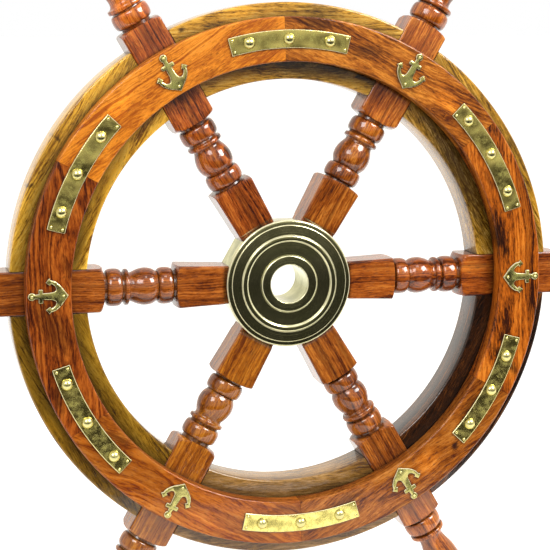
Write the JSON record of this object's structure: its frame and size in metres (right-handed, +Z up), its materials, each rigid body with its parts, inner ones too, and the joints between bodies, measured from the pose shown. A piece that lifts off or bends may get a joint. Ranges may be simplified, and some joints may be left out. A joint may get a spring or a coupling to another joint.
{
  "type": "ship steering wheel",
  "caption": "Wooden ship steering wheel: turned spokes with grips outside a built-up ring of felloes and facings, a brass hub with a through bore, curved brass strips and anchor trim.",
  "frame": {"origin": "on the hub bore axis, midway between the front and back faces of the felloes", "axes": "+Y along the bore from the front face to the back, +X along a spoke, +Z up through the gap between two spokes"},
  "size_m": [0.61, 0.0647, 0.532],
  "materials": {
    "spoke_wood": "glossy varnish",
    "felloe_wood": "glossy varnish",
    "facing_wood": "glossy varnish",
    "dowel_wood": "bare",
    "hub_brass": "mirror polish",
    "trim_brass": "polished",
    "fastener_brass": "polished"
  },
  "bodies": {
    "root": {"spoke_1": "spoke_wood", "spoke_2": "spoke_wood", "spoke_3": "spoke_wood", "spoke_4": "spoke_wood", "spoke_5": "spoke_wood", "spoke_6": "spoke_wood", "felloe_1": "felloe_wood", "felloe_2": "felloe_wood", "felloe_3": "felloe_wood", "felloe_4": "felloe_wood", "felloe_5": "felloe_wood", "felloe_6": "felloe_wood", "front_facing_1": "facing_wood", "front_facing_2": "facing_wood", "front_facing_3": "facing_wood", "front_facing_4": "facing_wood", "front_facing_5": "facing_wood", "front_facing_6": "facing_wood", "back_facing_1": "facing_wood", "back_facing_2": "facing_wood", "back_facing_3": "facing_wood", "back_facing_4": "facing_wood", "back_facing_5": "facing_wood", "back_facing_6": "facing_wood", "felloe_dowels": "dowel_wood", "hub_front_plate": "hub_brass", "hub_body": "hub_brass", "hub_back_plate": "hub_brass", "hub_sleeve": "hub_brass", "brass_strip_1": "trim_brass", "brass_strip_2": "trim_brass", "brass_strip_3": "trim_brass", "brass_strip_4": "trim_brass", "brass_strip_5": "trim_brass", "brass_strip_6": "trim_brass", "anchor_1": "trim_brass", "anchor_2": "trim_brass", "anchor_3": "trim_brass", "anchor_4": "trim_brass", "anchor_5": "trim_brass", "anchor_6": "trim_brass", "strip_nails": "fastener_brass", "strip_pins": "fastener_brass", "anchor_pins": "fastener_brass", "hub_screws": "fastener_brass"}
  },
  "joints": []
}
